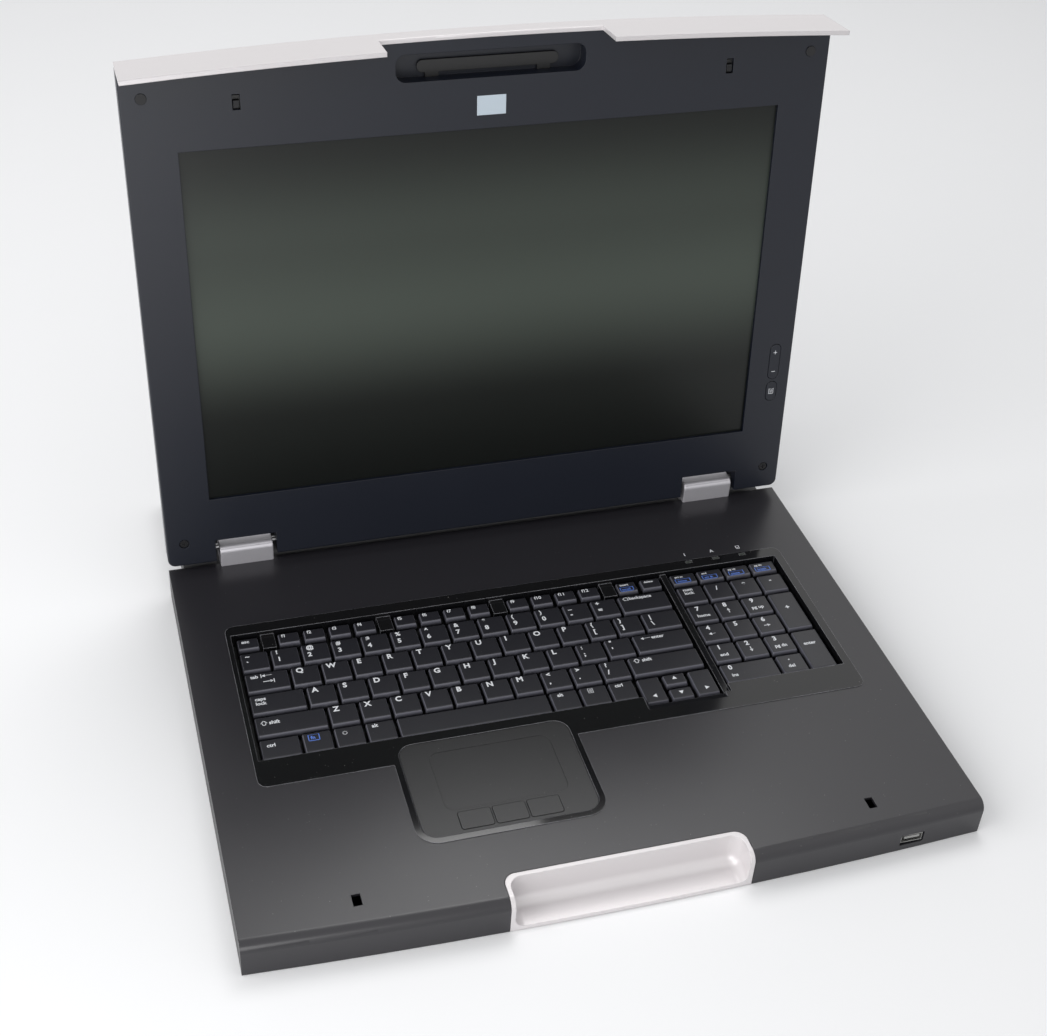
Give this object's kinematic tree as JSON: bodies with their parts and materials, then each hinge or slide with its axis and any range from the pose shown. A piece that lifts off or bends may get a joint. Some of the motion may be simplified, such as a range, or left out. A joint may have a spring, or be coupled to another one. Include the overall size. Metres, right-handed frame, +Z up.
{
  "type": "rackmount console drawer",
  "caption": "One-unit rack drawer with a keyboard, a touchpad and a hinged flat screen that folds down over them, shown open.",
  "frame": {"origin": "on the flat underside of the tray, on its centre line, below the line where the open lid's face meets the deck", "axes": "+X to the user's right, +Y to the back of the rack, +Z up"},
  "size_m": [0.428, 0.4267, 0.3634],
  "materials": {
    "deck_plastic": "fine texture, satin",
    "tray_steel": "powder coat",
    "silver_plastic": "satin silver",
    "gloss_black": "high gloss",
    "key_plastic": "satin",
    "pad_plastic": "satin",
    "lid_plastic": "fine texture",
    "screen_glass": "anti-glare",
    "module_metal": "plain",
    "hinge_silver": "satin silver",
    "steel": "plain",
    "board_green": "solder mask",
    "port_black": "plain",
    "membrane_rubber": "matt",
    "bumper_rubber": "matt",
    "lens_clear": "clear",
    "badge_gold": "plain plate"
  },
  "bodies": {
    "tray": {"base_pan": "tray_steel", "top_deck": "deck_plastic", "rear_cover": "tray_steel", "rear_panel": "tray_steel", "power_inlet": "port_black", "video_port": "module_metal", "host_usb_port": "module_metal", "power_board": "board_green", "control_board": "board_green", "handle_cup": "silver_plastic", "front_usb_port": "module_metal", "keyboard_surround": "gloss_black", "indicator_lenses": "lens_clear", "key_guide": "port_black", "key_membrane": "membrane_rubber", "key_base": "steel", "touchpad_insert": "pad_plastic", "touchpad_board": "board_green", "tray_screws": "steel", "hinge_covers": "hinge_silver", "hinge_brackets": "steel"},
    "lid": {"lid_bezel": "lid_plastic", "lid_back_cover": "lid_plastic", "fascia": "silver_plastic", "lcd_panel": "screen_glass", "lcd_module": "port_black", "display_board": "board_green", "lid_hinge_arms": "steel", "badge_plate": "badge_gold", "lid_bumpers": "bumper_rubber", "lid_screws": "steel"},
    "function_keys": {"function_keys": "key_plastic"},
    "number_keys": {"number_keys": "key_plastic"},
    "upper_letter_keys": {"upper_letter_keys": "key_plastic"},
    "middle_letter_keys": {"middle_letter_keys": "key_plastic"},
    "lower_letter_keys": {"lower_letter_keys": "key_plastic"},
    "modifier_keys": {"modifier_keys": "key_plastic"},
    "keypad_keys": {"keypad_keys": "key_plastic"},
    "key_space": {"key_space": "key_plastic"},
    "key_enter": {"key_enter": "key_plastic"},
    "key_backspace": {"key_backspace": "key_plastic"},
    "key_tab": {"key_tab": "key_plastic"},
    "key_caps_lock": {"key_caps_lock": "key_plastic"},
    "key_shift_left": {"key_shift_left": "key_plastic"},
    "key_shift_right": {"key_shift_right": "key_plastic"},
    "key_arrow_left": {"key_arrow_left": "key_plastic"},
    "key_arrow_up": {"key_arrow_up": "key_plastic"},
    "key_arrow_down": {"key_arrow_down": "key_plastic"},
    "key_arrow_right": {"key_arrow_right": "key_plastic"},
    "key_keypad_plus": {"key_keypad_plus": "key_plastic"},
    "key_keypad_enter": {"key_keypad_enter": "key_plastic"},
    "key_keypad_zero": {"key_keypad_zero": "key_plastic"},
    "touch_button_left": {"touch_button_left": "pad_plastic"},
    "touch_button_middle": {"touch_button_middle": "pad_plastic"},
    "touch_button_right": {"touch_button_right": "pad_plastic"},
    "latch_bar": {"latch_bar": "port_black"},
    "latch_hook_left": {"latch_hook_left": "steel"},
    "latch_hook_right": {"latch_hook_right": "steel"},
    "screen_rocker": {"screen_rocker": "lid_plastic"},
    "menu_button": {"menu_button": "lid_plastic"}
  },
  "joints": [
    {"name": "lid_hinge", "type": "hinge", "parent": "tray", "child": "lid", "pos_m": [0, 0.0105, 0.033], "axis": [1, 0, 0], "range_deg": [-15, 95.67]},
    {"name": "function_keys_press", "type": "slide", "parent": "tray", "child": "function_keys", "axis": [0, 0, -1], "range_m": [0, 0.0025], "stiffness_N_per_m": 3600, "springref_m": -0.0005},
    {"name": "number_keys_press", "type": "slide", "parent": "tray", "child": "number_keys", "axis": [0, 0, -1], "range_m": [0, 0.0025], "stiffness_N_per_m": 3120, "springref_m": -0.0005},
    {"name": "upper_letter_keys_press", "type": "slide", "parent": "tray", "child": "upper_letter_keys", "axis": [0, 0, -1], "range_m": [0, 0.0025], "stiffness_N_per_m": 3120, "springref_m": -0.0005},
    {"name": "middle_letter_keys_press", "type": "slide", "parent": "tray", "child": "middle_letter_keys", "axis": [0, 0, -1], "range_m": [0, 0.0025], "stiffness_N_per_m": 2640, "springref_m": -0.0005},
    {"name": "lower_letter_keys_press", "type": "slide", "parent": "tray", "child": "lower_letter_keys", "axis": [0, 0, -1], "range_m": [0, 0.0025], "stiffness_N_per_m": 2400, "springref_m": -0.0005},
    {"name": "modifier_keys_press", "type": "slide", "parent": "tray", "child": "modifier_keys", "axis": [0, 0, -1], "range_m": [0, 0.0025], "stiffness_N_per_m": 1680, "springref_m": -0.0005},
    {"name": "keypad_keys_press", "type": "slide", "parent": "tray", "child": "keypad_keys", "axis": [0, 0, -1], "range_m": [0, 0.0025], "stiffness_N_per_m": 4320, "springref_m": -0.0005},
    {"name": "key_space_press", "type": "slide", "parent": "tray", "child": "key_space", "axis": [0, 0, -1], "range_m": [0, 0.0025], "stiffness_N_per_m": 240, "springref_m": -0.0005},
    {"name": "key_enter_press", "type": "slide", "parent": "tray", "child": "key_enter", "axis": [0, 0, -1], "range_m": [0, 0.0025], "stiffness_N_per_m": 240, "springref_m": -0.0005},
    {"name": "key_backspace_press", "type": "slide", "parent": "tray", "child": "key_backspace", "axis": [0, 0, -1], "range_m": [0, 0.0025], "stiffness_N_per_m": 240, "springref_m": -0.0005},
    {"name": "key_tab_press", "type": "slide", "parent": "tray", "child": "key_tab", "axis": [0, 0, -1], "range_m": [0, 0.0025], "stiffness_N_per_m": 240, "springref_m": -0.0005},
    {"name": "key_caps_lock_press", "type": "slide", "parent": "tray", "child": "key_caps_lock", "axis": [0, 0, -1], "range_m": [0, 0.0025], "stiffness_N_per_m": 240, "springref_m": -0.0005},
    {"name": "key_shift_left_press", "type": "slide", "parent": "tray", "child": "key_shift_left", "axis": [0, 0, -1], "range_m": [0, 0.0025], "stiffness_N_per_m": 240, "springref_m": -0.0005},
    {"name": "key_shift_right_press", "type": "slide", "parent": "tray", "child": "key_shift_right", "axis": [0, 0, -1], "range_m": [0, 0.0025], "stiffness_N_per_m": 240, "springref_m": -0.0005},
    {"name": "key_arrow_left_press", "type": "slide", "parent": "tray", "child": "key_arrow_left", "axis": [0, 0, -1], "range_m": [0, 0.0025], "stiffness_N_per_m": 240, "springref_m": -0.0005},
    {"name": "key_arrow_up_press", "type": "slide", "parent": "tray", "child": "key_arrow_up", "axis": [0, 0, -1], "range_m": [0, 0.0025], "stiffness_N_per_m": 240, "springref_m": -0.0005},
    {"name": "key_arrow_down_press", "type": "slide", "parent": "tray", "child": "key_arrow_down", "axis": [0, 0, -1], "range_m": [0, 0.0025], "stiffness_N_per_m": 240, "springref_m": -0.0005},
    {"name": "key_arrow_right_press", "type": "slide", "parent": "tray", "child": "key_arrow_right", "axis": [0, 0, -1], "range_m": [0, 0.0025], "stiffness_N_per_m": 240, "springref_m": -0.0005},
    {"name": "key_keypad_plus_press", "type": "slide", "parent": "tray", "child": "key_keypad_plus", "axis": [0, 0, -1], "range_m": [0, 0.0025], "stiffness_N_per_m": 240, "springref_m": -0.0005},
    {"name": "key_keypad_enter_press", "type": "slide", "parent": "tray", "child": "key_keypad_enter", "axis": [0, 0, -1], "range_m": [0, 0.0025], "stiffness_N_per_m": 240, "springref_m": -0.0005},
    {"name": "key_keypad_zero_press", "type": "slide", "parent": "tray", "child": "key_keypad_zero", "axis": [0, 0, -1], "range_m": [0, 0.0025], "stiffness_N_per_m": 240, "springref_m": -0.0005},
    {"name": "touch_button_left_press", "type": "slide", "parent": "tray", "child": "touch_button_left", "axis": [0, 0, -1], "range_m": [0, 0.0006], "stiffness_N_per_m": 600, "springref_m": -0.0003},
    {"name": "touch_button_middle_press", "type": "slide", "parent": "tray", "child": "touch_button_middle", "axis": [0, 0, -1], "range_m": [0, 0.0006], "stiffness_N_per_m": 600, "springref_m": -0.0003},
    {"name": "touch_button_right_press", "type": "slide", "parent": "tray", "child": "touch_button_right", "axis": [0, 0, -1], "range_m": [0, 0.0006], "stiffness_N_per_m": 600, "springref_m": -0.0003},
    {"name": "latch_bar_slide", "type": "slide", "parent": "lid", "child": "latch_bar", "axis": [0, 0.0988, 0.9951], "range_m": [0, 0.0025], "stiffness_N_per_m": 500, "springref_m": -0.0015},
    {"name": "latch_hook_left_slide", "type": "slide", "parent": "latch_bar", "child": "latch_hook_left", "axis": [0, -0.9951, 0.0988], "range_m": [0, 0.006], "stiffness_N_per_m": 60, "springref_m": -0.002},
    {"name": "latch_hook_right_slide", "type": "slide", "parent": "latch_bar", "child": "latch_hook_right", "axis": [0, -0.9951, 0.0988], "range_m": [0, 0.006], "stiffness_N_per_m": 60, "springref_m": -0.002},
    {"name": "screen_rocker_tilt", "type": "hinge", "parent": "lid", "child": "screen_rocker", "pos_m": [0.2018, 0.01393, 0.12668], "axis": [1, 0, 0], "range_deg": [-2, 2], "stiffness_Nm_per_rad": 0.3},
    {"name": "menu_button_press", "type": "slide", "parent": "lid", "child": "menu_button", "axis": [0, 0.9951, -0.0988], "range_m": [0, 0.0008], "stiffness_N_per_m": 600, "springref_m": -0.0003}
  ]
}
